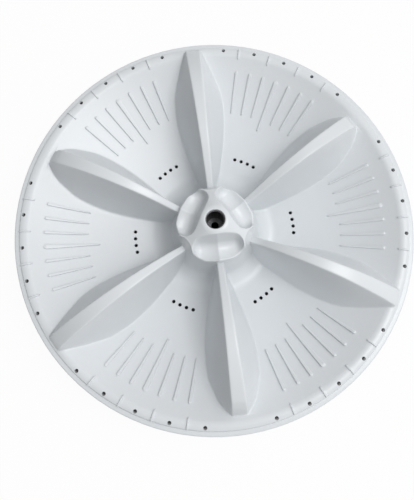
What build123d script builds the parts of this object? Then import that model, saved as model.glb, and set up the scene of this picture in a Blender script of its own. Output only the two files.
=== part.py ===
from build123d import *
from math import cos, radians, tan
import os

# All sizes in millimetres. The part stands on z = 0, turns about the Z axis, and its
# washing side faces +Z. The front of the part is towards -Y.

# Disc
disc_radius = 170.0            # outer edge of the rim
wall = 2.6                     # skin thickness of the moulding
rim_height = 48.0              # rim edge above the standing face
skirt_depth = 7.0              # downturned edge below the rim
flange_width = 3.0             # flat ring outside the roll
roll_width = 9.6               # raised roll that carries the rim holes
roll_rise = 2.4                # inner crest of the roll above the rim
roll_crest = 2.2               # crest out from the roll's foot
roll_crest_round = 1.6
roll_shoulder = 1.7            # height of the steep outer side of the roll
roll_crown = 0.3               # bow of the roll's top
dish_depth = 43.6              # dish surface below the rim where it meets the hub
dish_belly = 5.9               # bow of the dish below a straight cone

# Hub
hub_rise = 21.4                # hub top above the rim
hub_land = 2.4                 # flat ring round the screw bore
hub_shoulder_radius = 33.0
hub_shoulder_drop = 0.8        # shoulder below the rim edge
hub_base_radius = 42.0
hub_shoulder_round = 2.4
hub_base_round = 16.0
screw_bore = 16.0

# Scoops in the hub, each of two lobes
scoop_count = 3
scoop_reach = 21.0             # axis to the middle of a scoop
scoop_lobe_offset = 10.2       # each lobe from the middle of its scoop
scoop_lobe_radius = 10.0
scoop_saddle_radius = 9.3      # trough between the two lobes
scoop_center_rise = 1.0        # lobe centres above the rim
scoop_lip = 1.9

# Vanes
vane_count = 6
vane_angle = 40.0              # first vane, turned from +X
vane_root_radius = 31.0
long_vane_end = 160.6          # outer end of the top land
long_vane_lean = 36.0          # lean of the blunt end
long_vane_round = 1.2          # land into blunt end
short_vane_end = 148.4
short_vane_lean = 22.0
short_vane_round = 10.0
vane_peak = 22.6               # highest point of the top land above the rim
vane_peak_radius = 102.4
vane_arch_radius = 102.0
land_width_root = 5.2
land_width_tip = 12.4
draft_root = 2.0               # lean of the side walls at the hub
draft_tip = 25.0
draft_full_radius = 129.0      # the side walls stop flaring here
vane_stations = 8
vane_wall = 2.4
land_edge_round = 0.9

# Drain holes and raised ribs of one sector
rim_hole_count = 5
rim_hole_ring = 163.0
rim_hole_pitch = 10.0
inner_hole_count = 4
inner_hole_ring = 73.4
inner_hole_pitch = 4.96
drain_hole = 3.2
grip_count = 7
grip_pitch = 4.93
grip_outer = 147.4
grip_inner = 113.4
grip_middle_inner = 104.2
grip_rise = 0.9
grip_outer_width = 2.8
grip_middle_width = 4.4
grip_inner_width = 1.2
cross_rib_width = 1.3
cross_rib_length = 8.4
cross_rib_rise = 0.6

# Underside
boss_radius = 17.5
web_thickness = 2.2
foot_ring_radius = 57.0
outer_ring_radius = 120.0
ring_thickness = 2.2
under_rib_depth = 5.0

# Moulded-in splined bush
bush_recess = 2.0              # bush end above the standing face
bush_radius = 12.0
bush_shoulder = 39.0
neck_radius = 9.3
neck_top = 50.0
neck_bore = 14.0
floor_top = 41.8               # floor that takes the screw
floor_bottom = 36.8
screw_hole = 6.6
spline_teeth = 11
spline_minor = 15.6
spline_major = 17.8
spline_gap = 2.6
key_count = 6
key_rise = 1.6
key_width = 4.0
key_bottom = 8.0
key_top = 32.0

sector = 360.0 / vane_count
sector_middle = vane_angle - sector / 2
roll_outer = disc_radius - flange_width
roll_inner = roll_outer - roll_width
hub_top = rim_height + hub_rise
hub_top_edge = screw_bore / 2 + hub_land
shoulder_height = rim_height - hub_shoulder_drop
clear = 30.0                   # cutting shapes overrun by this much


def dish_height(radius):
    """Height of the bowed dish surface between the hub and the roll."""
    share = (radius - hub_base_radius) / (roll_inner - hub_base_radius)
    return rim_height - dish_depth * (1 - share) - 4 * dish_belly * share * (1 - share)


def region_under_face():
    """Half section of everything under the upper face, open far below and past the axis."""
    shoulder = (hub_shoulder_radius, shoulder_height)
    base = (hub_base_radius, rim_height - dish_depth)
    belly_radius = (hub_base_radius + roll_inner) / 2
    belly = (belly_radius, dish_height(belly_radius))
    inner_foot = (roll_inner, rim_height)
    crest = (roll_inner + roll_crest, rim_height + roll_rise)
    steep_top = (roll_outer - roll_shoulder / 2, rim_height + roll_shoulder)
    crown = ((crest[0] + steep_top[0]) / 2, (crest[1] + steep_top[1]) / 2 + roll_crown)
    outline = [
        Polyline((-clear, -clear), (-clear, hub_top), (hub_top_edge, hub_top), shoulder, base),
        ThreePointArc(base, belly, inner_foot),
        Line(inner_foot, crest),
        ThreePointArc(crest, crown, steep_top),
        Polyline(steep_top, (roll_outer, rim_height), (disc_radius, rim_height),
                 (disc_radius, -clear), (-clear, -clear)),
    ]
    region = make_face(Curve() + outline)
    for corner, radius in ((base, hub_base_round), (shoulder, hub_shoulder_round),
                           (crest, roll_crest_round)):
        region = fillet(region.vertices().sort_by_distance(Vector(*corner))[0], radius)
    return region


def region_under_skin(region):
    """The same half section drawn back by the skin thickness, in plain lines and arcs."""
    edges = []
    for edge in offset(region, -wall).edges():
        if edge.geom_type == GeomType.LINE:
            edges.append(Line(edge @ 0, edge @ 1))
        else:
            edges.append(ThreePointArc(edge @ 0, edge @ 0.5, edge @ 1))
    return make_face(Curve() + edges)


def turned(region, low=0.0, high=disc_radius + 1):
    """Revolve the part of a half section that lies between two radii."""
    strip = Pos((low + high) / 2, 0) * Rectangle(high - low, 4 * disc_radius)
    return revolve(Plane.XZ * (region & strip), Axis.Z)


def above_floor(low, high, bottom, top):
    """Plain rectangle of a half section."""
    return Pos((low + high) / 2, (bottom + top) / 2) * Rectangle(high - low, top - bottom)


def around(count, shape, first=0.0):
    """Equal copies of a shape turned about the axis."""
    return [Rot(0, 0, first + 360.0 * i / count) * shape for i in range(count)]


def every_sector(shapes):
    """Copies of one sector's shapes in all the sectors."""
    return [copy for shape in shapes for copy in around(vane_count, shape)]


def skin(upper, lower):
    """Dished disc with the roll, the downturned edge and the hollow hub."""
    section = upper - lower
    section -= above_floor(-clear, disc_radius + 1, -2 * clear, 0)
    section -= above_floor(roll_outer - wall, disc_radius + 1, -clear, rim_height - skirt_depth)
    return turned(section)


def band(region, top_shift, bottom_shift, low, high):
    """Layer between two copies of a face shifted up or down."""
    layer = (Pos(0, top_shift) * region) - (Pos(0, bottom_shift) * region)
    return turned(layer, low, high)


def land_height(radius):
    """Height of the arched top of a vane."""
    return rim_height + vane_peak - (radius - vane_peak_radius) ** 2 / (2 * vane_arch_radius)


def vane_section(radius, inset):
    """Cross-section of a vane, or of the hollow under it when inset by its wall."""
    along = (radius - vane_root_radius) / (long_vane_end - vane_root_radius)
    flare = min(1.0, (radius - vane_root_radius) / (draft_full_radius - vane_root_radius))
    draft = radians(draft_root + (draft_tip - draft_root) * flare)
    top = land_height(radius) - inset
    depth = wall + under_rib_depth + 2 if inset else wall / 2
    bottom = dish_height(radius) - depth
    half_land = (land_width_root + (land_width_tip - land_width_root) * along) / 2
    top_half = max(half_land - inset * (1 / cos(draft) - tan(draft)), 0.5)
    foot_half = top_half + (top - bottom) * tan(draft)
    corners = [(-foot_half, bottom), (foot_half, bottom), (top_half, top), (-top_half, top)]
    return Plane((radius, 0, 0), x_dir=(0, 1, 0), z_dir=(1, 0, 0)) * Polygon(*corners, align=None)


def vane(end, lean, end_round, inset=0.0):
    """One vane along +X with a leaning end, or its plain hollow when inset."""
    first = vane_root_radius + 4 * inset
    step = (end + 14 - first) / (vane_stations - 1)
    body = loft([vane_section(first + i * step, inset) for i in range(vane_stations)])
    nose = (end - 1.2 * inset, land_height(end))
    run = 2 * disc_radius * tan(radians(lean))
    foot = (nose[0] + run, nose[1] - 2 * disc_radius)
    lip = (nose[0] - run / 10, nose[1] + disc_radius / 5)
    side = make_face(Polyline(nose, foot, (nose[0] + run, lip[1]), lip, nose))
    body -= extrude(Plane.XZ * side, disc_radius / 2, both=True)
    if not inset:
        end_edge = body.edges().sort_by_distance(Vector(end, 0, land_height(end)))[0]
        body = fillet(end_edge, end_round)
        long_edges = body.faces().sort_by(Axis.Z)[-1].edges().sort_by(SortBy.LENGTH)[-2:]
        body = fillet(long_edges, land_edge_round)
    return body


def vane_set(inset=0.0):
    """Short and long vanes in turn round the hub."""
    short = vane(short_vane_end, short_vane_lean, short_vane_round, inset)
    long = vane(long_vane_end, long_vane_lean, long_vane_round, inset)
    pairs = vane_count // 2
    return around(pairs, short, vane_angle) + around(pairs, long, vane_angle + sector)


def scoop(lobe_radius, saddle_radius):
    """Two round-bottomed lobes joined by a trough and open upwards, centred on +X."""
    up = disc_radius / 2
    cup = Sphere(lobe_radius) + Pos(0, 0, up / 2) * Cylinder(lobe_radius, up)
    trough = Rot(90, 0, 0) * Cylinder(saddle_radius, 2 * scoop_lobe_offset)
    trough += Pos(0, 0, up / 2) * Box(2 * saddle_radius, 2 * scoop_lobe_offset, up)
    cups = [Pos(0, side * scoop_lobe_offset, 0) * cup for side in (-1, 1)]
    return Pos(scoop_reach, 0, rim_height + scoop_center_rise) * (trough + cups)


def scoop_shells():
    """Walls of the scoops, cut off along the cone of the hub."""
    drop = hub_rise + hub_shoulder_drop
    reach = hub_shoulder_radius + scoop_lobe_radius
    foot = hub_top - drop * (reach - hub_top_edge) / (hub_shoulder_radius - hub_top_edge)
    side = Polyline((0, 0), (0, hub_top), (hub_top_edge, hub_top), (reach, foot), (reach, 0),
                    (0, 0))
    cone = revolve(Plane.XZ * make_face(side), Axis.Z)
    shell = scoop(scoop_lobe_radius + scoop_lip, scoop_saddle_radius + scoop_lip) & cone
    return around(scoop_count, shell, vane_angle)


def grip_ribs():
    """Fan of thin raised wedges on the dish in the middle of one sector."""
    ribs = []
    for i in range(grip_count):
        place = i - (grip_count - 1) / 2
        inner, width = grip_inner, grip_outer_width
        if place == 0:
            inner, width = grip_middle_inner, grip_middle_width
        tip = Pos(inner, 0) * Circle(grip_inner_width / 2)
        root = Pos(grip_outer - width / 2, 0) * Circle(width / 2)
        plan = make_hull(tip.edges() + root.edges())
        ribs.append(Rot(0, 0, sector_middle + place * grip_pitch) * extrude(plan, hub_top))
    return ribs


def cross_ribs():
    """Short bars over the roll, one between each two rim holes of one sector."""
    middle = (roll_inner + roll_outer) / 2 - 1
    bar = Pos(middle, 0, hub_top / 2) * Box(cross_rib_length, cross_rib_width, hub_top)
    first = sector_middle - rim_hole_pitch * (rim_hole_count - 2) / 2
    return [Rot(0, 0, first + i * rim_hole_pitch) * bar for i in range(rim_hole_count - 1)]


def drain_holes():
    """Rim holes and inner holes of one sector."""
    pin = Cylinder(drain_hole / 2, 3 * hub_top)
    holes = []
    for count, ring, pitch in ((rim_hole_count, rim_hole_ring, rim_hole_pitch),
                               (inner_hole_count, inner_hole_ring, inner_hole_pitch)):
        first = sector_middle - pitch * (count - 1) / 2
        holes += [Rot(0, 0, first + i * pitch) * Pos(ring, 0, 0) * pin for i in range(count)]
    return holes


def ring_wall(radius):
    """Tall thin tube that a ring rib is cut from."""
    half = ring_thickness / 2
    return Cylinder(radius + half, disc_radius) - Cylinder(radius - half, disc_radius)


def hub_webs(lower):
    """Standing ring under the dish, with webs from it to the middle boss."""
    inside = Pos(0, wall / 2) * lower - above_floor(-clear, disc_radius + 1, -2 * clear, 0)
    room = turned(inside, 0, foot_ring_radius + ring_thickness)
    length = foot_ring_radius
    web = Pos(length / 2, 0, hub_top / 2) * Box(length, web_thickness, hub_top)
    return room & (ring_wall(foot_ring_radius) + around(vane_count, web, sector_middle))


def under_ribs(lower):
    """Shallow ring and spokes on the underside of the dish."""
    layer = band(lower, wall / 2, -under_rib_depth, foot_ring_radius, outer_ring_radius + 2)
    spoke = Pos(outer_ring_radius / 2, 0, 0) * Box(outer_ring_radius, web_thickness, disc_radius)
    return layer & (ring_wall(outer_ring_radius) + around(vane_count, spoke, sector_middle))


def bush_outside():
    """Outer form of the splined bush, as the moulding closes round it."""
    body = Pos(0, 0, (bush_recess + bush_shoulder) / 2) * \
        Cylinder(bush_radius, bush_shoulder - bush_recess)
    body += Pos(0, 0, (bush_shoulder + neck_top) / 2) * \
        Cylinder(neck_radius, neck_top - bush_shoulder)
    length = key_top - key_bottom
    key = Pos(bush_radius, 0, key_bottom + length / 2) * Box(2 * key_rise, key_width, length)
    return body + around(key_count, key, vane_angle)


def spline_bush(outside):
    """Bush with a splined socket below and a screw floor."""
    socket_length = floor_bottom - bush_recess
    socket = Cylinder(spline_minor / 2, socket_length)
    gap = Pos(spline_major / 4, 0, 0) * Box(spline_major / 2, spline_gap, socket_length)
    root = Cylinder(spline_major / 2, socket_length)
    socket += [g & root for g in around(spline_teeth, gap, vane_angle)]
    bush = outside - Pos(0, 0, bush_recess + socket_length / 2) * socket
    bush -= Pos(0, 0, floor_top + hub_top / 2) * Cylinder(neck_bore / 2, hub_top)
    return bush - Cylinder(screw_hole / 2, 3 * hub_top)


def pulsator(upper, lower, outside):
    """The whole moulding."""
    under = turned(lower, 0, hub_base_radius)
    body = skin(upper, lower) + [v - under for v in vane_set()]
    body += under_ribs(lower)
    body -= vane_set(vane_wall)
    body += scoop_shells()
    body += Pos(0, 0, hub_top / 2) * Cylinder(boss_radius, hub_top) & turned(upper)
    body += hub_webs(lower)
    grip = band(upper, grip_rise, -wall / 2, grip_middle_inner - 4, grip_outer + 4)
    body += every_sector([grip & rib for rib in grip_ribs()])
    roll = band(upper, cross_rib_rise, -wall / 2, roll_inner - 8, roll_outer)
    body += every_sector([roll & bar for bar in cross_ribs()])
    body -= around(scoop_count, scoop(scoop_lobe_radius, scoop_saddle_radius), vane_angle)
    body -= every_sector(drain_holes())
    body -= Pos(0, 0, neck_top + hub_top / 2) * Cylinder(screw_bore / 2, hub_top)
    body -= Cylinder((spline_major + 1.4) / 2, 2 * bush_recess)
    return body - outside


os.makedirs("parts", exist_ok=True)
upper_region = region_under_face()
lower_region = region_under_skin(upper_region)
bush_form = bush_outside()
export_step(pulsator(upper_region, lower_region, bush_form), "parts/pulsator.step")
export_step(spline_bush(bush_form), "parts/spline_bush.step")
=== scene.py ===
from math import cos, pi, radians, sin, sqrt, tan

import bpy
import numpy as np
from bpy.props import FloatProperty, FloatVectorProperty, PointerProperty
from mathutils import Matrix, Vector


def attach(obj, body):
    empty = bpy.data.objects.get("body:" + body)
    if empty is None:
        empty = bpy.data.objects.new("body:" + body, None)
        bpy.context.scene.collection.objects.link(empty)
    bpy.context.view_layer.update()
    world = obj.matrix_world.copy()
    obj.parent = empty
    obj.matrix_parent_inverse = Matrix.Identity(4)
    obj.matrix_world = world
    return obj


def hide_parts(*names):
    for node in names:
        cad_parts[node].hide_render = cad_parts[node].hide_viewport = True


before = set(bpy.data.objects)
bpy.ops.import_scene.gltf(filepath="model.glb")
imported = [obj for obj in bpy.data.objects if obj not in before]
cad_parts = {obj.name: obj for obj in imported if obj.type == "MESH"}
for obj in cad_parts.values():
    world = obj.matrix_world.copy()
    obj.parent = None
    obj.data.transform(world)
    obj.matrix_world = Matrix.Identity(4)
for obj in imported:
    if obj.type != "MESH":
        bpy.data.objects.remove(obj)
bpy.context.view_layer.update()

bl_info = {
    "name": "Washing machine pulsator",
    "version": (1, 0, 0),
    "blender": (4, 5, 0),
    "location": "3D View > Sidebar > Pulsator",
    "description": "Moulded pulsator disc with six hollow vanes on a splined bush",
    "category": "Object",
}

MM = 0.001

# Sizes are in millimetres and angles in degrees where nothing else is said. A pair is a radius
# from the axis and a height.

# Section of the disc, from the hub's flank to the downturned edge
RIM = 48.0
WALL = 2.6
FLANK_TOP = (33.0, 47.2)
FLANK_FOOT = (42.0, 4.4)
FLANK_START = 1.2                # length left off at the top of the flank, inside the hub
BASE_FILLET = 16.0
FILLET_CLEAR = 0.5               # least run from the fillet's end to the dish's next row
DISH_END = (157.4, RIM)
DISH_SAG = 5.9
FINE_FROM = 142.0                # rows lie closer from this radius on, for the vanes' ends
ROLL_MIDDLE = (162.7, 39.17)
ROLL_ROUND = 10.3
ROLL_ARC = (121.0, 78.0)
ROLL_FOOT = (165.3, 49.15)
ROLL_HOLLOW = ((165.9, 45.3), (164.6, 47.1), (160.4, 47.4), (157.9, 45.2))
ROLL_HOLLOW_ROUNDS = (0.6, 0.6, 0.6, 0.8)
FLANGE_START = 166.0
FLANGE_TOP = RIM - 0.1
EDGE_RADIUS = 170.0
EDGE_FOOT = 41.0
EDGE_INSIDE = 168.9
EDGE_ROUNDS = (0.5, 0.3, 0.9, 0.6)

# Vanes: three long ones with a blunt end on the roll, three short ones with a round nose
VANES = 6
SECTOR = 360.0 / VANES
VANE_ANGLE = 40.0                # direction of the first vane
VANE_ROOT = 31.0
VANE_PEAK = 22.6                 # rise of the highest point over the rim
VANE_PEAK_RADIUS = 102.4
VANE_ARCH = 102.0                # radius of curvature at the highest point
LAND_ROOT = 5.2                  # widths of the flat land
LAND_TIP = 12.4
DRAFT_ROOT = 2.0
DRAFT_TIP = 25.0
DRAFT_FULL = 129.0               # radius from which the walls have their full draft
LONG_END = 160.6                 # radius of a long vane's end, its lean and its rounding
LONG_LEAN = 36.0
LONG_ROUND = 1.6
SHORT_END = 147.0
SHORT_LEAN = 30.0
SHORT_ROUND = 7.0
LAND_EDGE = 1.3
VANE_FILLET = 2.2
EDGE_LIMIT = 0.9                 # largest share of half a land that its edge may take
WALL_LIMIT = 0.96                # largest share of a side wall that its roundings may take

# Hollows under the vanes
VANE_WALL = 2.4
HOLLOW_BACK = 1.6                # how far a hollow stays behind its vane's end, in walls
HOLLOW_DROP = 0.4                # how far it stays below the leaning end, in walls
HOLLOW_START = 40.6
HOLLOW_SLOPE = 9.0               # rise over run of the end wall near the hub
HOLLOW_ROUND = 1.5
HOLLOW_LEAST = 0.5               # least half width
HOLLOW_EDGE = 0.5
HOLLOW_FILLET = 0.8

# Columns of the grid over half a vane and the dish beside it
LAND_STEPS = 4
EDGE_STEPS = 5
WALL_STEPS = 6
FOOT_STEPS = 6
DISH_STEPS = 9

# Top of the hub
HUB_TOP = 69.4
HUB_LAND = 10.4
HUB_EDGE = 1.2
HUB_WALL = 2.2
HUB_COLUMNS = 360
HUB_ROWS = 96
BORE = 8.0
BORE_MOUTH = ((BORE, 68.7), (8.06, 69.0), (8.2, 69.2), (8.4, 69.35))
BORE_EDGE = 8.7

# Outline of the hub seen from above
LIP = (32.6, 56.5)
LIP_ROUND = 1.3
LIP_FOOT = 45.5
LIP_PROUD = 0.1                  # how far the hub's skin stands outside the disc's flank
LIP_TURNS = (22, 45, 67, 90)     # rows round the lip's edge
LIP_WALL_ROWS = (0.12, 0.25, 0.4, 0.55, 0.7, 0.85, 1.0)
LOBE_END = LIP[0] - 0.2
LOBE_SWELL = 0.9
LOBE_SWELL_ANGLE = 23.0
LOBE_SWELL_SPREAD = 9.0
LOBE_SIDE = 22.4
LOBE_ROUND = 2.0
LOBE_LEAST_SINE = 0.3            # keeps a lobe's straight side finite at the lobe's middle
VALLEY = 28.2
VALLEY_ROUND = 2.5

# Scoops, along the line from the axis through a scoop's middle
SCOOPS = 3
SCOOP_FLOOR = 49.5
SCOOP_MIDDLE = 22.4
SCOOP_LOBE = 11.5
SCOOP_SIDE = 13.8
SCOOP_RIDGE = 1.9
SCOOP_BOW = 0.8
SCOOP_STEEP = 73.0
SCOOP_FOOT_ROUND = 6.6
SCOOP_LIP_ROUND = 15.0
SCOOP_LIP_STEEP = 80.0
SCOOP_EDGE = 1.1
SCOOP_CLEAR = 2.0                # a scoop cuts only beyond this distance from the axis

# Inside of the hub, and the boss round the bush
HUB_UNDERLAP = ((33.6, 38.0), (31.6, 38.6), (30.4, 41.5))
ROOF_ROWS = (28.5, 26.5, 24.5, 22.5, 20.5, 19.0, 17.5)
ROOF_TOP = (19.0, 62.0)
ROOF_SLOPE = 1.05
BOSS = 17.5
BOSS_MIDDLE = 30.0
BOSS_EDGE = 0.6
BOSS_MOUTH = 9.6
BUSH_FOOT = 2.0
BUSH_SEAT = 12.0
BUSH_SHOULDER = 39.0
NECK_RADIUS = 9.3
NECK_TOP = 50.0

# Steel sleeve in the bore
LINER_FOOT = NECK_TOP + 0.02
LINER_TOP = 66.0
LINER_OUTSIDE = BORE - 0.05
LINER_BORE = 7.0
LINER_EDGE = 0.2
LINER_STEPS = 96

# Ribs on the upper face
RIB_ROWS = 29
RIB_LEAN = 0.12
RIB_LEAN_SHARE = 0.3             # largest share of half a rib's width that its lean may take
RIB_CROWN = 0.4
RIB_CROWN_SHARE = 0.8
RIB_CROWN_ARC = 75.0
RIB_CROWN_STEPS = 5
RIB_BLUNT = 0.02                 # least distance from an end, in half widths
RIB_END_RISE = 0.3               # least value of that distance, for the rise of a rib's ends
RIB_END_BOW = 0.4                # power that rounds the ends' rise
RIB_SINK = 1.0
GRIP_SIDE_RIBS = 3               # ribs on each side of the middle one
GRIP_PITCH = 4.93
GRIP_END = 147.4
GRIP_START = 112.8
GRIP_WIDTH = 2.8
GRIP_POINT = 1.2
GRIP_LONG_START = 103.6
GRIP_LONG_WIDTH = 4.4
CROSS_START = 156.2
CROSS_END = 166.0
CROSS_WIDTH = 1.6
CROSS_SINK = 0.8

# Plates and rings on the underside
PLATE = 2.2
PLATE_EDGE = 0.4
PLATE_BITE = 1.3                 # how far a plate reaches into the shell above it
HUB_BITE = 1.4
RING_BITE = 1.2
STANDING_RING = 57.0
STANDING_STEPS = 144
OUTER_RING = 120.0
OUTER_DEPTH = 5.0                # depth of the outer ring and the spokes below the dish
OUTER_REACH = 20.6               # half the angle of an arc of the outer ring
OUTER_STEPS = 15
SPOKE_LIFT = 0.3                 # least height of a spoke's lower edge
SPOKE_OVERLAP = 1.0              # how far a spoke runs past the middles of both rings
SPOKE_ROWS = 24
WEB_START = 15.5
WEB_ROWS = 30
WEB_TOP = 44.0
WEB_INSIDE = 33.5                # radius up to which a web stands under the hub's top

# Holes in arcs: how many a sector has, their radius from the axis, and their pitch
ROLL_HOLES = (5, 163.0, 10.0)
DISH_HOLES = (4, 73.4, 4.96)
PIN_SIDES = 24
PIN_HEIGHTS = (-5.0, 60.0)

SHARP_ANGLE = 38.0

# Floor, in metres, with the disc of it that the part hides from the camera; inside that disc the
# floor's colour is painted dark as a shadow under the part
FLOOR_HALF = 20.0
FLOOR_TONE = 0.8
FLOOR_GLOW = 0.95
SHADE_MIDDLE = (0.0, 0.010, 0.0)
SHADE_RADIUS = 0.189
SHADE_RAMP = 0.006
# painted shadow: colour of the floor inside the disc under the part
SHADE_TONE = 0.08

# Light: lifts above the horizon on the part's right side, and sizes in metres
FILL_LIFT = radians(60)
FILL_COLOUR = (0.985, 0.99, 1.0)
KEY_LIFT = radians(66)
KEY_DISTANCE = 1.0
KEY_SIZE = 0.42
KEY_TARGET = (0.0, 0.0, 0.04)

# Camera: it looks down past the middle of the rim, which is CAMERA_AWAY metres from it. The
# focal length and the shift are in pixels of a picture whose longer side is PICTURE.
CAMERA_LIFT = radians(78.286)
CAMERA_ROLL = radians(2.742)
CAMERA_AWAY = 0.40632
SENSOR = 36.0
PICTURE = 500
FOCAL = 476.29
SHIFT_RIGHT = -8.058
SHIFT_UP = -25.657


# Mesh helpers

def grid_quads(rows, columns, loop_rows):
    """Corner numbers of the quads between neighbouring points of a grid. Every row closes on
    itself; the last row is joined to the first one if loop_rows is set."""
    i = np.arange(rows if loop_rows else rows - 1)[:, None]
    j = np.arange(columns)[None, :]
    down, across = (i + 1) % rows, (j + 1) % columns
    corners = (i * columns + j, i * columns + across, down * columns + across,
               down * columns + j)
    return np.stack(np.broadcast_arrays(*corners), -1).reshape(-1, 4)


def signed_volume(points, groups):
    """Volume of a closed mesh, negative when its faces point inwards. Each group is an array of
    faces with as many corners, which are taken as fans of triangles."""
    total = 0.0
    for faces in groups:
        for k in range(1, faces.shape[1] - 1):
            a, b, c = points[faces[:, 0]], points[faces[:, k]], points[faces[:, k + 1]]
            total += np.einsum("ij,ij->", a, np.cross(b, c))
    return total / 6


def new_object(name, points, *groups):
    """Mesh object from points in millimetres and arrays of faces, which it turns outwards."""
    if signed_volume(points, groups) < 0:
        groups = [faces[:, ::-1] for faces in groups]
    faces = [face for group in groups for face in group.tolist()]
    mesh = bpy.data.meshes.new(name)
    mesh.from_pydata((points * MM).tolist(), [], faces)
    mesh.update()
    obj = bpy.data.objects.new(name, mesh)
    bpy.context.scene.collection.objects.link(obj)
    return obj


def looped_object(name, grid):
    """Mesh object of one grid of points that closes on itself along its rows and columns."""
    rows, columns = grid.shape[:2]
    return new_object(name, grid.reshape(-1, 3), grid_quads(rows, columns, True))


def tubes(name, grids):
    """Mesh object of closed tubes: every row of a grid is a loop, and the first and the last
    row are closed by a fan round the row's own middle."""
    grids = np.asarray(grids)
    count, rows, columns = grids.shape[:3]
    side = grid_quads(rows, columns, False)
    ring = np.arange(columns)
    after = (ring + 1) % columns
    first, last = rows * columns, rows * columns + 1
    base = (rows - 1) * columns
    start = np.stack([np.full(columns, first), after, ring], -1)
    end = np.stack([np.full(columns, last), base + ring, base + after], -1)
    points = np.concatenate([grids.reshape(count, -1, 3), grids[:, 0].mean(1, keepdims=True),
                             grids[:, -1].mean(1, keepdims=True)], 1)
    offset = points.shape[1] * np.arange(count)[:, None, None]
    sides = (side[None] + offset).reshape(-1, 4)
    ends = (np.concatenate([start, end])[None] + offset).reshape(-1, 3)
    return new_object(name, points.reshape(-1, 3), sides, ends)


def combine(obj, tool, operation):
    """Joins a solid to another, or cuts it away, and deletes the tool."""
    step = obj.modifiers.new("combine", "BOOLEAN")
    step.operation = operation
    step.solver = "MANIFOLD"
    step.object = tool
    graph = bpy.context.evaluated_depsgraph_get()
    mesh = bpy.data.meshes.new_from_object(obj.evaluated_get(graph))
    if not mesh.polygons:
        raise RuntimeError(f"nothing is left of {obj.name} after {tool.name}")
    obj.modifiers.remove(step)
    old = obj.data
    obj.data = mesh
    mesh.name = old.name
    bpy.data.meshes.remove(old)
    bpy.data.objects.remove(tool)


def smooth_by_angle(obj):
    """Smooth shading that breaks at the sharp edges."""
    obj.data.shade_smooth()
    obj.data.set_sharp_from_angle(angle=radians(SHARP_ANGLE))


def polar(radius, angle, height):
    """Points from radius, angle and height, as one array of x, y, z."""
    turn = np.radians(angle)
    parts = np.broadcast_arrays(radius * np.cos(turn), radius * np.sin(turn), height)
    return np.stack(parts, -1)


def turned(points, angle):
    """Points turned round the axis."""
    turn = radians(angle)
    spin = np.array([[cos(turn), sin(turn), 0], [-sin(turn), cos(turn), 0], [0, 0, 1]])
    return points @ spin


def shares(count, first=0):
    """Equal steps from 0 to 1 as one row, from the given step on."""
    return np.linspace(0, 1, count)[None, first:]


def soft_min(a, b, size):
    """The lower of two heights, rounded where they cross."""
    gap = np.clip(0.5 + 0.5 * (b - a) / size, 0, 1)
    return b + (a - b) * gap - size * gap * (1 - gap)


# Profiles

def arc_points(centre, radius, start, end, count):
    """Points of an arc in a half section, from angle start to angle end."""
    turn = np.radians(np.linspace(start, end, count))
    return np.stack([centre[0] + radius * np.cos(turn), centre[1] + radius * np.sin(turn)], -1)


def direction(offset):
    """Direction of an offset in a half section, in radians."""
    return np.arctan2(offset[1], offset[0])


def rounded(corners, radii, steps):
    """Polyline whose inner corners are arcs. Each arc starts and ends at a distance from its
    corner that is the radius divided by the tangent of half the corner's angle."""
    corners = np.asarray(corners, float)
    out = [corners[:1]]
    for before, corner, after, radius in zip(corners, corners[1:], corners[2:], radii):
        back = (before - corner) / np.linalg.norm(before - corner)
        on = (after - corner) / np.linalg.norm(after - corner)
        half = np.arccos(np.clip(np.dot(back, on), -1, 1)) / 2
        length = radius / np.tan(half)
        middle = (back + on) / np.linalg.norm(back + on)
        centre = corner + middle * radius / np.sin(half)
        start = direction(corner + back * length - centre)
        sweep = direction(corner + on * length - centre) - start
        sweep = (sweep + pi) % (2 * pi) - pi
        turn = start + sweep * np.linspace(0, 1, steps)
        out.append(centre + radius * np.stack([np.cos(turn), np.sin(turn)], -1))
    out.append(corners[-1:])
    return np.concatenate(out)


def refined(points, spacing):
    """The same polyline with long runs divided."""
    out = [points[:1]]
    for a, b in zip(points, points[1:]):
        count = max(1, int(np.ceil(np.linalg.norm(b - a) / spacing)))
        out.append(np.linspace(a, b, count + 1)[1:])
    return np.concatenate(out)


def dish_circle():
    """Centre and radius of the circle through the dish's foot, belly and end."""
    middle_r = (FLANK_FOOT[0] + DISH_END[0]) / 2
    middle = (middle_r, (FLANK_FOOT[1] + DISH_END[1]) / 2 - DISH_SAG)
    (ax, ay), (bx, by), (cx, cy) = FLANK_FOOT, middle, DISH_END
    d = 2 * (ax * (by - cy) + bx * (cy - ay) + cx * (ay - by))
    sa, sb, sc = ax * ax + ay * ay, bx * bx + by * by, cx * cx + cy * cy
    centre = np.array([(sa * (by - cy) + sb * (cy - ay) + sc * (ay - by)) / d,
                       (sa * (cx - bx) + sb * (ax - cx) + sc * (bx - ax)) / d])
    return centre, np.linalg.norm(centre - np.array(FLANK_FOOT))


def dish_height(radius):
    """Height of the dish's upper face between the base fillet and the roll."""
    centre, bow = dish_circle()
    return centre[1] - np.sqrt(bow ** 2 - (radius - centre[0]) ** 2)


def dish_rows(start, step, end, fine_step):
    """Radii of the rows over the dish, closer together near the vanes' ends."""
    return np.concatenate([np.arange(start, FINE_FROM, step),
                           np.arange(FINE_FROM, end, fine_step)])


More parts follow.
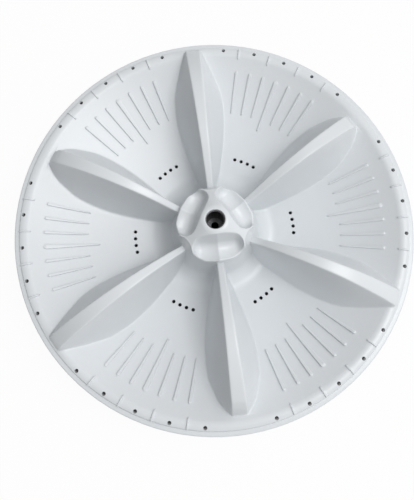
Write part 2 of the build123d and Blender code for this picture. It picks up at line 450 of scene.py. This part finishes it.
def base_profile(inset, flank_rows, fillet_rows, radii):
    """Flank, base fillet and dish of the half section, drawn back by the inset. The fillet's
    centre is where a line parallel to the flank meets a circle inside the dish's circle."""
    centre, bow = dish_circle()
    bow += inset
    radius = BASE_FILLET + inset
    top, foot = np.array(FLANK_TOP), np.array(FLANK_FOOT)
    along = (foot - top) / np.linalg.norm(foot - top)
    outward = np.array([-along[1], along[0]])
    start = top - outward * inset
    shifted = start + outward * radius
    # The fillet's centre is as far along the shifted flank as makes it (bow - radius) from the
    # dish's centre: a quadratic, of which the larger root lies below.
    b = np.dot(shifted - centre, along)
    c = np.dot(shifted - centre, shifted - centre) - (bow - radius) ** 2
    middle = shifted + along * (-b + sqrt(b * b - c))
    flank_end = middle - outward * radius
    touch = middle + (middle - centre) / np.linalg.norm(middle - centre) * radius
    flank = np.linspace(start + along * FLANK_START, flank_end, flank_rows)
    first = np.degrees(direction(flank_end - middle)) % 360
    last = np.degrees(direction(touch - middle)) % 360
    arc = arc_points(middle, radius, first, last, fillet_rows)
    radii = radii[radii > touch[0] + FILLET_CLEAR]
    dish = np.stack([radii, centre[1] - np.sqrt(bow ** 2 - (radii - centre[0]) ** 2)], -1)
    return np.concatenate([flank, arc[1:], dish])


def upper_base():
    """Upper half section from the hub's flank to the end of the dish."""
    radii = dish_rows(start=58.0, step=1.5, end=DISH_END[0] + 0.1, fine_step=0.8)
    return base_profile(0.0, flank_rows=16, fillet_rows=14, radii=radii)


def top_profile():
    """Upper half section from the hub's flank over the roll to the downturned edge's foot."""
    bead = arc_points(ROLL_MIDDLE, ROLL_ROUND, *ROLL_ARC, count=15)
    corners = [bead[-1], ROLL_FOOT, (FLANGE_START, FLANGE_TOP), (EDGE_RADIUS, FLANGE_TOP),
               (EDGE_RADIUS, EDGE_FOOT), (EDGE_INSIDE, EDGE_FOOT)]
    edge = rounded(corners, EDGE_ROUNDS, steps=5)
    return np.concatenate([upper_base(), bead[:-1], refined(edge, spacing=0.9)])


def under_profile():
    """Lower half section from the downturned edge's foot back in to the hollow of the hub."""
    inside = EDGE_RADIUS - WALL
    corners = [(inside, EDGE_FOOT), (inside, FLANGE_TOP - WALL), *ROLL_HOLLOW]
    groove = rounded(corners, ROLL_HOLLOW_ROUNDS, steps=3)
    radii = dish_rows(start=60.0, step=3.0, end=DISH_END[0] - 0.9, fine_step=1.4)
    base = base_profile(WALL, flank_rows=9, fillet_rows=7, radii=radii)
    return np.concatenate([refined(groove, spacing=2.0), base[::-1]])


# Disc and vanes

def land_height(radius):
    """Height of a vane's arched top: a parabola with its peak at the peak radius."""
    return RIM + VANE_PEAK - (radius - VANE_PEAK_RADIUS) ** 2 / (2 * VANE_ARCH)


def vane_top(radius, floor, long, inset):
    """Height of a vane along its length: the arch, cut off by a leaning nose that is rounded
    where the two meet. The hollow's roof lies lower by the inset and starts at an end wall."""
    if long:
        end, lean, softness = LONG_END, LONG_LEAN, LONG_ROUND
    else:
        end, lean, softness = SHORT_END, SHORT_LEAN, SHORT_ROUND
    nose = land_height(end) - (radius - end + HOLLOW_BACK * inset) / tan(radians(lean))
    top = soft_min(land_height(radius) - inset, nose - HOLLOW_DROP * inset, softness)
    if inset:
        top = soft_min(top, floor + (radius - HOLLOW_START) * HOLLOW_SLOPE, HOLLOW_ROUND)
    return top


def vane_columns(radius, floor, long, inset, edge, fillet):
    """Half a vane's cross-section and the dish beside it for every radius. Each row runs over
    the flat land, round its edge, down the drafted wall, round the foot and along the circle of
    the dish to the middle of the sector. Gives angles from the vane's middle, and heights."""
    along = np.clip((radius - VANE_ROOT) / (LONG_END - VANE_ROOT), 0, 1)
    flare = np.clip((radius - VANE_ROOT) / (DRAFT_FULL - VANE_ROOT), 0, 1)
    draft = np.radians(DRAFT_ROOT + (DRAFT_TIP - DRAFT_ROOT) * flare)
    upright = pi / 2 - draft
    height = np.maximum(vane_top(radius, floor, long, inset) - floor, 0.0)
    half = (LAND_ROOT + (LAND_TIP - LAND_ROOT) * along) / 2
    half = half - inset * (1 / np.cos(draft) - np.tan(draft))
    half = np.maximum(half, HOLLOW_LEAST)
    reach = np.tan(upright / 2)
    room = WALL_LIMIT * height / np.cos(draft) / ((edge + fillet) * reach)
    scale = np.minimum(1, room)
    edge, fillet = edge * scale, fillet * scale
    edge = np.minimum(edge, EDGE_LIMIT * half / reach)
    foot = half + height * np.tan(draft)
    lift = floor + height

    t = shares(LAND_STEPS)
    land_y = t * (half - edge * reach)
    land_z = lift + 0 * t
    bend = shares(EDGE_STEPS, 1) * upright
    edge_y = half - edge * reach + edge * np.sin(bend)
    edge_z = lift - edge * (1 - np.cos(bend))
    t = shares(WALL_STEPS, 1)
    foot_start_y = foot - fillet * reach * np.sin(draft)
    foot_start_z = floor + fillet * reach * np.cos(draft)
    wall_y = edge_y[:, -1:] + (foot_start_y - edge_y[:, -1:]) * t
    wall_z = edge_z[:, -1:] + (foot_start_z - edge_z[:, -1:]) * t
    bend = (1 - shares(FOOT_STEPS, 1)) * upright
    foot_y = foot + fillet * reach - fillet * np.sin(bend)
    foot_z = floor + fillet * (1 - np.cos(bend))
    y = np.concatenate([land_y, edge_y, wall_y, foot_y], 1)
    z = np.concatenate([land_z, edge_z, wall_z, foot_z], 1)
    angle = np.degrees(np.arcsin(np.clip(y / radius, -1, 1)))
    t = shares(DISH_STEPS, 1)
    dish_angle = angle[:, -1:] + (SECTOR / 2 - angle[:, -1:]) * t
    dish_z = floor + 0 * t
    return np.concatenate([angle, dish_angle], 1), np.concatenate([z, dish_z], 1)


def sheet_rows(profile, inset, edge, fillet):
    """Points of one face of the disc: every profile point is a row round the axis, in which
    the six vanes, or the six hollows under them, rise from the profile's own height."""
    radius, floor = profile[:, :1], profile[:, 1:]
    angles, heights = [], []
    for k in range(VANES):
        half_angle, half_height = vane_columns(radius, floor, k % 2 == 1, inset, edge, fillet)
        middle = VANE_ANGLE + SECTOR * k
        angles += [middle - half_angle[:, :0:-1], middle + half_angle[:, :-1]]
        heights += [half_height[:, :0:-1], half_height[:, :-1]]
    return polar(radius, np.concatenate(angles, 1), np.concatenate(heights, 1))


def disc_solid():
    """The dished disc as one closed loop of rows: upper face outwards, then the lower face."""
    upper = sheet_rows(top_profile(), 0.0, LAND_EDGE, VANE_FILLET)
    lower = sheet_rows(under_profile(), VANE_WALL, HOLLOW_EDGE, HOLLOW_FILLET)
    return looped_object("disc_with_vanes", np.concatenate([upper, lower]))


# Hub

def cone_height(radius):
    """Top of the hub: a flat ring round the bore, then a straight cone down to the lips."""
    slope = (HUB_TOP - LIP[1]) / (LIP[0] - HUB_LAND)
    cone = HUB_TOP - (radius - HUB_LAND) * slope
    return soft_min(cone, np.full_like(cone, HUB_TOP), HUB_EDGE)


def bowl(distance, radius, steepest):
    """Rise of a round bottom at a distance from its middle, straight once it is steep."""
    turn = radians(steepest)
    reach = radius * sin(turn)
    near = np.clip(distance, 0, reach)
    return radius - np.sqrt(radius ** 2 - near ** 2) + np.maximum(distance - reach, 0) * tan(turn)


def scoop_height(x, y, deeper):
    """Surface of a scoop opening along +x: a leaning wall towards the axis and on both sides,
    which bows inwards, a round floor that rises to the lip, and a low ridge between two lobes.
    Deeper shifts it down and inwards, for the face under it."""
    across = np.abs(y)
    bow = SCOOP_BOW * (1 - np.exp(-(across / SCOOP_LOBE) ** 2))
    inwards = np.maximum(SCOOP_MIDDLE - bow - x, 0)
    sideways = np.maximum(across - SCOOP_SIDE, 0)
    wall = bowl(np.hypot(inwards, sideways), SCOOP_FOOT_ROUND + deeper, SCOOP_STEEP)
    outer = bowl(x - SCOOP_MIDDLE, SCOOP_LIP_ROUND, SCOOP_LIP_STEEP)
    ridge = SCOOP_RIDGE * np.clip(1 - across / SCOOP_LOBE, 0, 1) ** 2
    return SCOOP_FLOOR + wall + outer + ridge - deeper


def hub_height(radius, angle, deeper=0.0):
    """Top of the hub with the three scoops cut into the cone, all edges rounded, or the face
    that lies deeper under it."""
    height = cone_height(radius) - deeper
    for k in range(SCOOPS):
        turn = np.radians(angle - VANE_ANGLE - 360 / SCOOPS * k)
        x, y = radius * np.cos(turn), radius * np.sin(turn)
        pocket = np.where(x > SCOOP_CLEAR, scoop_height(x, y, deeper), 2 * HUB_TOP)
        height = soft_min(height, pocket, SCOOP_EDGE)
    return height


def lip_radius(angle):
    """Outline of the hub seen from above: a blunt lobe round each scoop, a valley between."""
    pitch = 360 / SCOOPS
    off = np.abs((angle - VANE_ANGLE + pitch / 2) % pitch - pitch / 2)
    swell = np.exp(-((off - LOBE_SWELL_ANGLE) / LOBE_SWELL_SPREAD) ** 2)
    end = LOBE_END + LOBE_SWELL * swell
    side = LOBE_SIDE / np.maximum(np.sin(np.radians(off)), LOBE_LEAST_SINE)
    lobe = soft_min(end, side, LOBE_ROUND)
    return -soft_min(-lobe, np.full_like(off, -VALLEY), VALLEY_ROUND)


def flank_radius(height):
    """Straight flank of the hub, and its line above the disc's own edge."""
    share = (FLANK_TOP[1] - height) / (FLANK_TOP[1] - FLANK_FOOT[1])
    return FLANK_TOP[0] + (FLANK_FOOT[0] - FLANK_TOP[0]) * share


def boss_outline():
    """Section of the boss: down its outside, in under it and up round the bush to the neck."""
    return ((BOSS, BOSS_MIDDLE), (BOSS, BOSS_EDGE), (BOSS - BOSS_EDGE, 0.0),
            (BOSS_MOUTH + BOSS_EDGE, 0.0), (BOSS_MOUTH, BOSS_EDGE), (BOSS_MOUTH, BUSH_FOOT),
            (BUSH_SEAT, BUSH_FOOT), (BUSH_SEAT, BUSH_SHOULDER), (NECK_RADIUS, BUSH_SHOULDER),
            (NECK_RADIUS, NECK_TOP))


def hub_solid():
    """Hub and boss as one closed loop of rows: up the bore, over the top and the scoops, down
    behind the lips, back under the cone, down the boss and up round the bush."""
    angle = np.arange(HUB_COLUMNS)[None, :] * 360.0 / HUB_COLUMNS
    edge = lip_radius(angle) - LIP_ROUND
    rows = []

    def ring(radius, height):
        rows.append(polar(radius + 0 * angle, angle, height + 0 * angle))

    ring(BORE, NECK_TOP)
    for radius, height in BORE_MOUTH:
        ring(radius, height)
    for share in np.linspace(0, 1, HUB_ROWS):
        radius = BORE_EDGE + (edge - BORE_EDGE) * share
        ring(radius, hub_height(radius, angle))
    lip = hub_height(edge, angle)
    for turn in LIP_TURNS:
        bend = radians(turn)
        ring(edge + LIP_ROUND * sin(bend), lip - LIP_ROUND * (1 - cos(bend)))
    wall_top = lip - LIP_ROUND
    overhang = edge + LIP_ROUND - flank_radius(wall_top) - LIP_PROUD
    for share in LIP_WALL_ROWS:
        height = wall_top + (LIP_FOOT - wall_top) * share
        ring(flank_radius(height) + LIP_PROUD + overhang * (1 - share) ** 2, height)
    for radius, height in HUB_UNDERLAP:
        ring(radius, height)
    for radius in ROOF_ROWS:
        roof = ROOF_TOP[1] - ROOF_SLOPE * (radius - ROOF_TOP[0])
        ring(radius, np.minimum(hub_height(radius + 0 * angle, angle, HUB_WALL), roof))
    for radius, height in boss_outline():
        ring(radius, height)
    return looped_object("hub", np.concatenate(rows))


def neck_liner():
    """Thin steel sleeve that carries the bush's neck up the bore, as a loop both ways."""
    angle = (np.arange(LINER_STEPS) * 360.0 / LINER_STEPS)[:, None]
    shoulder = LINER_TOP - LINER_EDGE
    outline = [(LINER_OUTSIDE, LINER_FOOT), (LINER_OUTSIDE, shoulder),
               (LINER_OUTSIDE - LINER_EDGE, LINER_TOP), (LINER_BORE + LINER_EDGE, LINER_TOP),
               (LINER_BORE, shoulder), (LINER_BORE, LINER_FOOT)]
    radius, height = np.array(outline).T
    return looped_object("neck_liner", polar(radius[None, :], angle, height[None, :]))


# Ribs on the upper face

def sector_angles():
    """Middles of the six spaces between the vanes."""
    return [VANE_ANGLE - SECTOR / 2 + SECTOR * k for k in range(VANES)]


def raised_rib(inner, outer, inner_width, outer_width, rise, angle, height_of, sink):
    """Closed rib that follows a face of the disc: its plan is a slim drop, round at both ends,
    and its section has steep sides and a rounded crown. Rows run along it, each a loop."""
    t = np.linspace(0, 1, RIB_ROWS)[:, None]
    along = inner + (outer - inner) * (1 - np.cos(t * pi)) / 2
    share = (along - inner) / (outer - inner)
    width = inner_width + (outer_width - inner_width) * share
    from_end = np.minimum(along - inner, outer - along) / (width / 2)
    cap = np.clip(from_end, RIB_BLUNT, 1)
    half = width / 2 * np.sqrt(1 - (1 - cap) ** 2)
    lean = np.minimum(RIB_LEAN, RIB_LEAN_SHARE * half)
    crown = np.minimum(RIB_CROWN, RIB_CROWN_SHARE * (half - lean))
    bend = np.radians(np.linspace(RIB_CROWN_ARC, 0, RIB_CROWN_STEPS))[None, :]
    side_y = half - lean - crown * (1 - np.sin(bend))
    side_z = rise - crown * (1 - np.cos(bend))
    y = np.concatenate([half, side_y, -side_y[:, ::-1], -half], 1)
    lift = np.concatenate([0 * half, side_z, side_z[:, ::-1], 0 * half], 1)
    lift = lift * np.clip(from_end, RIB_END_RISE, 1) ** RIB_END_BOW
    x = np.broadcast_to(along, y.shape)
    surface = height_of(np.sqrt(x ** 2 + y ** 2))
    top = np.stack([x, y, surface + lift], -1)
    under = np.stack([x, y, surface - sink], -1)[:, ::-1]
    return turned(np.concatenate([top, under], 1), angle)


def grip_ribs(rise):
    """Seven slim drops in each space, the middle one longer and wider."""
    grids = []
    for middle in sector_angles():
        for place in range(-GRIP_SIDE_RIBS, GRIP_SIDE_RIBS + 1):
            start, width = (GRIP_START, GRIP_WIDTH) if place else (GRIP_LONG_START, GRIP_LONG_WIDTH)
            grids.append(raised_rib(start, GRIP_END, GRIP_POINT, width, rise,
                                    middle + GRIP_PITCH * place, dish_height, RIB_SINK))
    return tubes("grip_ribs", grids)


def roll_height(radius):
    """Height of the roll's upper face, read off the rising side of the section and its top."""
    profile = top_profile()
    line = profile[(profile[:, 0] > OUTER_RING) & (profile[:, 1] > EDGE_FOOT - 1)]
    order = np.argsort(line[:, 0])
    return np.interp(radius, line[order, 0], line[order, 1])


def cross_ribs(rise):
    """Short bars over the roll, one between each two rim holes."""
    count, _, pitch = ROLL_HOLES
    grids = []
    for middle in sector_angles():
        for place in range(count - 1):
            angle = middle + pitch * (place - (count - 2) / 2)
            grids.append(raised_rib(CROSS_START, CROSS_END, CROSS_WIDTH, CROSS_WIDTH, rise, angle,
                                    roll_height, CROSS_SINK))
    return tubes("cross_ribs", grids)


# Plates and rings on the underside

def plate_section(low, high):
    """Section of an upright plate or ring: places across it, and heights from its top down one
    side, over the cut lower edges and up the other side."""
    half = PLATE / 2
    flat = half - PLATE_EDGE
    across = np.array([-half, -half, -flat, flat, half, half])
    shoulder = low + PLATE_EDGE
    return across, np.stack([high, shoulder, low, low, shoulder, high], -1)


def plate(radii, low, high, angle):
    """Closed upright plate along a radius: one row of its section at every radius."""
    y, z = plate_section(low, high)
    x = np.broadcast_to(radii[:, None], z.shape)
    return turned(np.stack([x, np.broadcast_to(y, z.shape), z], -1), angle)


def hub_webs():
    """Six plates from the boss to the standing ring, with their tops inside the shell."""
    radii = np.linspace(WEB_START, STANDING_RING, WEB_ROWS)
    base = upper_base()
    outside = np.interp(radii, base[:, 0], base[:, 1]) - PLATE_BITE
    grids = []
    for middle in sector_angles():
        under = hub_height(radii, np.full_like(radii, middle)) - HUB_BITE
        high = np.minimum(np.where(radii < WEB_INSIDE, under, outside), WEB_TOP)
        grids.append(plate(radii, np.zeros_like(radii), high, middle))
    return tubes("hub_webs", grids)


def spokes():
    """Six shallow ribs on the underside from the standing ring to the outer ring."""
    radii = np.linspace(STANDING_RING - SPOKE_OVERLAP, OUTER_RING + SPOKE_OVERLAP,
                        SPOKE_ROWS)
    low = np.maximum(dish_height(radii) - WALL - OUTER_DEPTH, SPOKE_LIFT)
    high = dish_height(radii) - PLATE_BITE
    return tubes("spokes", [plate(radii, low, high, middle) for middle in sector_angles()])


def standing_ring():
    """Ring that the part stands on, as a loop both ways."""
    angle = (np.arange(STANDING_STEPS) * 360.0 / STANDING_STEPS)[:, None]
    across, heights = plate_section(0.0, dish_height(STANDING_RING) - RING_BITE)
    return looped_object("standing_ring", polar(STANDING_RING + across[None, :], angle, heights))


def outer_ring():
    """Arcs of the shallow outer ring, between the walls of the vanes."""
    low = dish_height(OUTER_RING) - WALL - OUTER_DEPTH
    high = dish_height(OUTER_RING - PLATE / 2) - PLATE_BITE
    across, heights = plate_section(low, high)
    grids = []
    for middle in sector_angles():
        angle = np.linspace(middle - OUTER_REACH, middle + OUTER_REACH, OUTER_STEPS)[:, None]
        grids.append(polar(OUTER_RING + across[None, :], angle, heights))
    return tubes("outer_ring", grids)


# Holes

def drain_pins(diameter):
    """Upright pins through every drain hole, to cut with."""
    turn = np.arange(PIN_SIDES) * 360.0 / PIN_SIDES
    grids = []
    for middle in sector_angles():
        for count, ring, pitch in (ROLL_HOLES, DISH_HOLES):
            for place in range(count):
                centre = polar(ring, middle + pitch * (place - (count - 1) / 2), 0.0)
                grids.append([polar(diameter / 2, turn, z) + centre for z in PIN_HEIGHTS])
    return tubes("drain_pins", grids)


# Materials

def new_material(name):
    """Material with its nodes, its links and its Principled shader."""
    material = bpy.data.materials.new(name)
    material.use_nodes = True
    tree = material.node_tree
    return material, tree.nodes, tree.links, tree.nodes["Principled BSDF"]


def noise_texture(nodes, scale, detail):
    """Noise of a scale and a detail."""
    noise = nodes.new("ShaderNodeTexNoise")
    noise.inputs["Scale"].default_value = scale
    noise.inputs["Detail"].default_value = detail
    return noise


def tone_ramp(nodes, colour, darker, low, high):
    """Ramp from the darkened colour at one value to the full colour at another."""
    ramp = nodes.new("ShaderNodeValToRGB")
    dark, full = ramp.color_ramp.elements
    dark.position = low
    dark.color = (*[c * darker for c in colour], 1)
    full.position = high
    full.color = (*colour, 1)
    return ramp


def add_bump(nodes, links, height, shader, strength, distance):
    """Bump from a height socket into a shader's normal."""
    bump = nodes.new("ShaderNodeBump")
    bump.inputs["Strength"].default_value = strength
    bump.inputs["Distance"].default_value = distance
    links.new(height, bump.inputs["Height"])
    links.new(bump.outputs["Normal"], shader.inputs["Normal"])


def moulding_material(colour):
    """Pale moulded polypropylene: faint cloudy tone, fine spark-eroded grain in the bump, and
    roughness that varies a little."""
    material, nodes, links, shader = new_material("moulded_plastic")
    shader.inputs["IOR"].default_value = 1.49
    where = nodes.new("ShaderNodeTexCoord").outputs["Object"]

    cloud = noise_texture(nodes, scale=14.0, detail=3.0)
    links.new(where, cloud.inputs["Vector"])
    tone = tone_ramp(nodes, colour, darker=0.975, low=0.35, high=0.7)
    links.new(cloud.outputs["Fac"], tone.inputs["Fac"])
    links.new(tone.outputs["Color"], shader.inputs["Base Color"])
    gloss = nodes.new("ShaderNodeMapRange")
    gloss.inputs["To Min"].default_value = 0.27
    gloss.inputs["To Max"].default_value = 0.33
    links.new(cloud.outputs["Fac"], gloss.inputs["Value"])
    links.new(gloss.outputs["Result"], shader.inputs["Roughness"])

    grain = noise_texture(nodes, scale=900.0, detail=2.0)
    links.new(where, grain.inputs["Vector"])
    add_bump(nodes, links, grain.outputs["Fac"], shader, strength=0.05, distance=0.0002)
    return material


def bush_material(colour):
    """Turned steel, darkened: fine rings round the axis and streaks away from it."""
    material, nodes, links, shader = new_material("turned_steel")
    shader.inputs["Metallic"].default_value = 1.0
    shader.inputs["Roughness"].default_value = 0.38
    where = nodes.new("ShaderNodeTexCoord").outputs["Object"]

    streak = nodes.new("ShaderNodeTexGradient")
    streak.gradient_type = "RADIAL"
    links.new(where, streak.inputs["Vector"])
    noise = noise_texture(nodes, scale=60.0, detail=3.0)
    noise.noise_dimensions = "1D"
    links.new(streak.outputs["Fac"], noise.inputs["W"])
    tone = tone_ramp(nodes, colour, darker=0.45, low=0.4, high=0.65)
    links.new(noise.outputs["Fac"], tone.inputs["Fac"])
    links.new(tone.outputs["Color"], shader.inputs["Base Color"])

    rings = nodes.new("ShaderNodeTexWave")
    rings.wave_type = "RINGS"
    rings.rings_direction = "Z"
    rings.inputs["Scale"].default_value = 900.0
    links.new(where, rings.inputs["Vector"])
    add_bump(nodes, links, rings.outputs["Fac"], shader, strength=0.2, distance=0.0001)
    return material


def math_node(nodes, links, operation, first, second):
    """Math node on a socket and on another socket or a number, and its result."""
    node = nodes.new("ShaderNodeMath")
    node.operation = operation
    links.new(first, node.inputs[0])
    if isinstance(second, float):
        node.inputs[1].default_value = second
    else:
        links.new(second, node.inputs[1])
    return node.outputs["Value"]


def backdrop_material():
    """Plain white floor. Away from the part it glows for the camera, in reflections and through
    clear things, which throws no extra light on the part; where the part hides it, it does not
    glow and its colour is painted nearly black as a shadow, so the holes look into painted shade."""
    material, nodes, links, shader = new_material("backdrop")
    shader.inputs["Roughness"].default_value = 0.9
    shader.inputs["Specular IOR Level"].default_value = 0.0

    where = nodes.new("ShaderNodeTexCoord").outputs["Object"]
    distance = nodes.new("ShaderNodeVectorMath")
    distance.operation = "DISTANCE"
    distance.inputs[1].default_value = SHADE_MIDDLE
    links.new(where, distance.inputs[0])
    clear = nodes.new("ShaderNodeMapRange")
    clear.inputs["From Min"].default_value = SHADE_RADIUS - SHADE_RAMP
    clear.inputs["From Max"].default_value = SHADE_RADIUS
    links.new(distance.outputs["Value"], clear.inputs["Value"])
    # painted shadow: inside the disc under the part the floor's colour ramps down to SHADE_TONE
    tone = tone_ramp(nodes, [FLOOR_TONE] * 3, darker=SHADE_TONE / FLOOR_TONE, low=0.0,
                     high=1.0)
    links.new(clear.outputs["Result"], tone.inputs["Fac"])
    links.new(tone.outputs["Color"], shader.inputs["Base Color"])

    path = nodes.new("ShaderNodeLightPath")
    seen = path.outputs["Is Camera Ray"]
    for ray in ("Is Glossy Ray", "Is Transmission Ray"):
        seen = math_node(nodes, links, "MAXIMUM", seen, path.outputs[ray])
    amount = math_node(nodes, links, "MULTIPLY", seen, clear.outputs["Result"])
    share = math_node(nodes, links, "MULTIPLY", amount, FLOOR_GLOW)
    glow = nodes.new("ShaderNodeEmission")
    mix = nodes.new("ShaderNodeMixShader")
    links.new(share, mix.inputs["Fac"])
    links.new(shader.outputs["BSDF"], mix.inputs[1])
    links.new(glow.outputs["Emission"], mix.inputs[2])
    links.new(mix.outputs["Shader"], nodes["Material Output"].inputs["Surface"])
    return material


# Stage

def add_floor(scene):
    """Large flat floor at the height on which the part stands."""
    size = FLOOR_HALF
    corners = [(-size, -size, 0), (size, -size, 0), (size, size, 0), (-size, size, 0)]
    mesh = bpy.data.meshes.new("floor")
    mesh.from_pydata(corners, [], [(0, 1, 2, 3)])
    mesh.materials.append(backdrop_material())
    floor = bpy.data.objects.new("floor", mesh)
    scene.collection.objects.link(floor)


def add_surroundings(scene, strength):
    """Broad soft light from the right and above: its strength falls off with the cosine of
    the angle from its middle and is nothing on the far side."""
    world = bpy.data.worlds.new("studio")
    scene.world = world
    world.use_nodes = True
    nodes, links = world.node_tree.nodes, world.node_tree.links
    background = nodes["Background"]
    background.inputs["Color"].default_value = (*FILL_COLOUR, 1)
    where = nodes.new("ShaderNodeTexCoord")
    towards = nodes.new("ShaderNodeVectorMath")
    towards.operation = "DOT_PRODUCT"
    towards.inputs[1].default_value = (strength * cos(FILL_LIFT), 0, strength * sin(FILL_LIFT))
    links.new(where.outputs["Generated"], towards.inputs[0])
    lit = math_node(nodes, links, "MAXIMUM", towards.outputs["Value"], 0.0)
    links.new(lit, background.inputs["Strength"])


def add_key_lamp(scene, power):
    """Square soft lamp on the right that looks at the part."""
    data = bpy.data.lights.new("key", "AREA")
    data.shape = "SQUARE"
    data.size = KEY_SIZE
    data.energy = power
    place = Vector((KEY_DISTANCE * cos(KEY_LIFT), 0.0, RIM * MM + KEY_DISTANCE * sin(KEY_LIFT)))
    lamp = bpy.data.objects.new("key", data)
    lamp.location = place
    lamp.rotation_mode = "QUATERNION"
    lamp.rotation_quaternion = (Vector(KEY_TARGET) - place).to_track_quat("-Z", "Y")
    scene.collection.objects.link(lamp)


def add_camera(scene):
    """Camera above the part and slightly towards its front, rolled a little."""
    back = Vector((0, -cos(CAMERA_LIFT), sin(CAMERA_LIFT)))
    right = Vector((1, 0, 0))
    up = back.cross(right)
    turned_right = right * cos(CAMERA_ROLL) + up * sin(CAMERA_ROLL)
    turned_up = up * cos(CAMERA_ROLL) - right * sin(CAMERA_ROLL)
    data = bpy.data.cameras.new("camera")
    data.sensor_width = SENSOR
    data.lens = SENSOR * FOCAL / PICTURE
    data.shift_x = SHIFT_RIGHT / PICTURE
    data.shift_y = SHIFT_UP / PICTURE
    data.clip_start = 0.01
    data.clip_end = 50
    camera = bpy.data.objects.new("camera", data)
    place = Vector((0, 0, RIM * MM)) + back * CAMERA_AWAY
    axes = Matrix((turned_right, turned_up, back)).transposed().to_4x4()
    camera.matrix_world = Matrix.Translation(place) @ axes
    scene.collection.objects.link(camera)
    scene.camera = camera


# Settings, operators and panel

class PulsatorSettings(bpy.types.PropertyGroup):
    """Sizes, colours and lights of the pulsator that a user would change."""
    drain_hole: FloatProperty(
        name="Drain holes", description="Diameter of the drain holes", default=3.2 * MM,
        min=1 * MM, max=4 * MM, precision=4, unit="LENGTH", subtype="DISTANCE")
    grip_rise: FloatProperty(
        name="Grip ribs", description="Height of the grip ribs over the dish",
        default=1.9 * MM, min=1 * MM, max=4 * MM, precision=4, unit="LENGTH",
        subtype="DISTANCE")
    cross_rise: FloatProperty(
        name="Cross ribs", description="Height of the short bars over the roll",
        default=1.2 * MM, min=1 * MM, max=2 * MM, precision=4, unit="LENGTH",
        subtype="DISTANCE")
    plastic: FloatVectorProperty(
        name="Moulding", description="Colour of the moulded plastic", subtype="COLOR",
        default=(0.69, 0.717, 0.736), min=0, max=1)
    steel: FloatVectorProperty(
        name="Bush", description="Colour of the turned bush", subtype="COLOR",
        default=(0.16, 0.16, 0.165), min=0, max=1)
    key_strength: FloatProperty(
        name="Key light", description="Power of the soft lamp on the right", default=3.65, min=0,
        unit="POWER")
    fill_strength: FloatProperty(
        name="Fill light", description="Strength of the broad light round the part",
        default=1.14, min=0)


class PULSATOR_OT_moulding(bpy.types.Operator):
    """Make the moulding: the disc with its vanes, ribs, rings and holes, and the hub"""
    bl_idname = "pulsator.moulding"
    bl_label = "Moulding"

    def execute(self, context):
        settings = context.scene.pulsator
        material = moulding_material(tuple(settings.plastic))
        disc = disc_solid()
        for part in (standing_ring(), hub_webs(), spokes(), outer_ring(),
                     grip_ribs(settings.grip_rise / MM), cross_ribs(settings.cross_rise / MM)):
            combine(disc, part, "UNION")
        combine(disc, drain_pins(settings.drain_hole / MM), "DIFFERENCE")
        hub = hub_solid()
        for obj in (disc, hub):
            smooth_by_angle(obj)
            obj.data.materials.clear()
            obj.data.materials.append(material)
            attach(obj, "root")
        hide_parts("pulsator")
        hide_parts("pulsator")
        return {"FINISHED"}


class PULSATOR_OT_bush(bpy.types.Operator):
    """Give the splined bush its turned steel and line the bore above it"""
    bl_idname = "pulsator.bush"
    bl_label = "Splined bush"

    def execute(self, context):
        material = bush_material(tuple(context.scene.pulsator.steel))
        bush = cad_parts["spline_bush"]
        neck = neck_liner()
        smooth_by_angle(neck)
        for obj in (bush, neck):
            obj.data.materials.clear()
            obj.data.materials.append(material)
        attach(neck, "root")
        return {"FINISHED"}


class PULSATOR_OT_stage(bpy.types.Operator):
    """Set the floor, the lights and the camera"""
    bl_idname = "pulsator.stage"
    bl_label = "Stage"

    def execute(self, context):
        scene = context.scene
        scene.view_settings.view_transform = "Standard"
        add_floor(scene)
        add_surroundings(scene, scene.pulsator.fill_strength)
        add_key_lamp(scene, scene.pulsator.key_strength)
        add_camera(scene)
        return {"FINISHED"}


class PULSATOR_PT_panel(bpy.types.Panel):
    """Lists the settings and the pieces of the pulsator"""
    bl_label = "Pulsator"
    bl_idname = "PULSATOR_PT_panel"
    bl_space_type = "VIEW_3D"
    bl_region_type = "UI"
    bl_category = "Pulsator"

    def draw(self, context):
        layout = self.layout
        settings = context.scene.pulsator
        for name in ("drain_hole", "grip_rise", "cross_rise", "plastic", "steel",
                     "key_strength", "fill_strength"):
            layout.prop(settings, name)
        for operator in (PULSATOR_OT_moulding, PULSATOR_OT_bush, PULSATOR_OT_stage):
            layout.operator(operator.bl_idname)


CLASSES = (PulsatorSettings, PULSATOR_OT_moulding, PULSATOR_OT_bush, PULSATOR_OT_stage,
           PULSATOR_PT_panel)


def register():
    for cls in CLASSES:
        bpy.utils.register_class(cls)
    bpy.types.Scene.pulsator = PointerProperty(type=PulsatorSettings)


def unregister():
    del bpy.types.Scene.pulsator
    for cls in reversed(CLASSES):
        bpy.utils.unregister_class(cls)


def main():
    """Makes the pieces and the stage."""
    register()
    bpy.ops.pulsator.moulding()
    bpy.ops.pulsator.bush()
    bpy.ops.pulsator.stage()
    bpy.context.view_layer.update()


if __name__ == "__main__":
    main()
